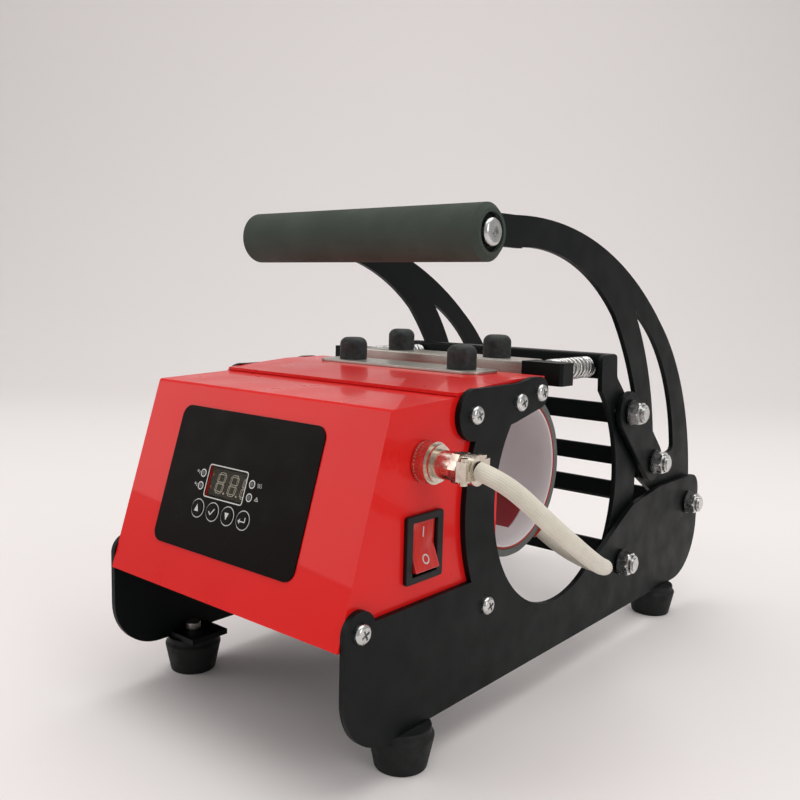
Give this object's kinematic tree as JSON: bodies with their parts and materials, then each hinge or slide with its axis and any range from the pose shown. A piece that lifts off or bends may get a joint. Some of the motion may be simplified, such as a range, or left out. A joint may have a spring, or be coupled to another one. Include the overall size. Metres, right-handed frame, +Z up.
{
  "type": "mug heat press",
  "caption": "Benchtop press that closes a flexible heater round a mug with a toggle handle, with a sloping control box in front.",
  "frame": {"origin": "on the table, under the middle of the press", "axes": "+X towards the operator's right, +Y towards the back, +Z up"},
  "size_m": [0.2408, 0.3749, 0.259],
  "materials": {
    "red_paint": "gloss red powder coat",
    "black_coat": "satin black powder coat",
    "zinc": "zinc plated, satin",
    "bright_steel": "bright zinc or nickel",
    "nickel": "nickel plated",
    "rubber": "matt black",
    "foam": "matt foam",
    "cap_plastic": "matt dark plastic",
    "black_plastic": "satin black",
    "overlay_film": "smooth film",
    "smoked_window": "smoked, clear",
    "red_rocker": "translucent red",
    "sleeve": "woven glass sleeve",
    "sponge": "closed-cell silicone sponge",
    "silicone": "red silicone sheet",
    "liner_cloth": "pale coated cloth",
    "circuit": "green board",
    "key_film": "smooth film"
  },
  "bodies": {
    "base": {"base_pivot_bolts": "bright_steel", "base_pivot_nuts_washers": "bright_steel", "base_tie_rod": "zinc", "box_back_wall": "black_coat", "cable_boot": "silicone", "control_board": "circuit", "control_box_shell": "red_paint", "display_module": "black_plastic", "display_window": "smoked_window", "foot_bolts": "zinc", "front_clamp_bolts": "zinc", "front_clamp_caps": "cap_plastic", "front_clamp_plate": "zinc", "heater_cable": "sleeve", "heater_cradle": "black_coat", "heater_liner": "liner_cloth", "heater_mat": "silicone", "heater_pad": "sponge", "indicator_lamps": "red_rocker", "panel_overlay": "overlay_film", "panel_socket": "nickel", "plug_body": "nickel", "plug_cable_clamp": "nickel", "plug_coupling_ring": "nickel", "power_board": "circuit", "power_inlet": "black_plastic", "power_relay": "black_plastic", "rear_cover": "red_paint", "rocker_housing": "black_plastic", "rubber_feet": "rubber", "side_plate_left": "black_coat", "side_plate_right": "black_coat", "side_screws": "bright_steel", "terminal_patch": "silicone", "transformer": "black_plastic"},
    "handle_arms": {"arm_right": "black_coat", "arm_left": "black_coat", "arm_tie_bar": "black_coat", "grip_core": "zinc", "foam_grip": "foam", "grip_screws": "bright_steel"},
    "toggle_links": {"toggle_links": "black_coat", "link_bolts": "bright_steel", "link_nuts_washers": "bright_steel"},
    "rear_frame": {"frame_side_right": "black_coat", "frame_side_left": "black_coat", "frame_slats": "black_coat", "frame_top_bar": "black_coat", "frame_bottom_bar": "black_coat", "spring_bolts": "zinc", "clamp_springs": "bright_steel"},
    "rear_clamp": {"rear_clamp_bar": "zinc", "end_blocks": "black_coat", "rear_clamp_caps": "cap_plastic", "rear_clamp_bolts": "zinc"},
    "rocker": {"power_rocker": "red_rocker"},
    "key_up": {"key_up": "key_film"},
    "key_ok": {"key_ok": "key_film"},
    "key_down": {"key_down": "key_film"},
    "key_enter": {"key_enter": "key_film"}
  },
  "joints": [
    {"name": "handle_swing", "type": "hinge", "parent": "base", "child": "handle_arms", "pos_m": [0, 0.1695, 0.073], "axis": [1, 0, 0], "range_deg": [-45, 0]},
    {"name": "frame_open", "type": "hinge", "parent": "base", "child": "rear_frame", "pos_m": [0, 0.0665, 0.052], "axis": [1, 0, 0], "range_deg": [-18, 0]},
    {"name": "link_turn", "type": "hinge", "parent": "handle_arms", "child": "toggle_links", "pos_m": [0, 0.1085, 0.11], "axis": [1, 0, 0], "range_deg": [0, 94.5]},
    {"name": "rear_clamp_float", "type": "slide", "parent": "rear_frame", "child": "rear_clamp", "axis": [0, 1, 0], "range_m": [0, 0.003], "stiffness_N_per_m": 4000, "springref_m": -0.002, "deforming": ["clamp_springs"]},
    {"name": "rocker_tilt", "type": "hinge", "parent": "base", "child": "rocker", "pos_m": [0.079, -0.1316, 0.1029], "axis": [0, 1, 0], "range_deg": [0, 18]},
    {"name": "key_up_press", "type": "slide", "parent": "base", "child": "key_up", "axis": [0, 0.9544, -0.2986], "range_m": [0, 0.0005], "stiffness_N_per_m": 600, "springref_m": -0.0005},
    {"name": "key_ok_press", "type": "slide", "parent": "base", "child": "key_ok", "axis": [0, 0.9544, -0.2986], "range_m": [0, 0.0005], "stiffness_N_per_m": 600, "springref_m": -0.0005},
    {"name": "key_down_press", "type": "slide", "parent": "base", "child": "key_down", "axis": [0, 0.9544, -0.2986], "range_m": [0, 0.0005], "stiffness_N_per_m": 600, "springref_m": -0.0005},
    {"name": "key_enter_press", "type": "slide", "parent": "base", "child": "key_enter", "axis": [0, 0.9544, -0.2986], "range_m": [0, 0.0005], "stiffness_N_per_m": 600, "springref_m": -0.0005}
  ],
  "couplings": [
    {"joint": "frame_open", "follows": "handle_swing", "ratio": 0.4},
    {"joint": "link_turn", "follows": "handle_swing", "ratio": -2.1}
  ]
}
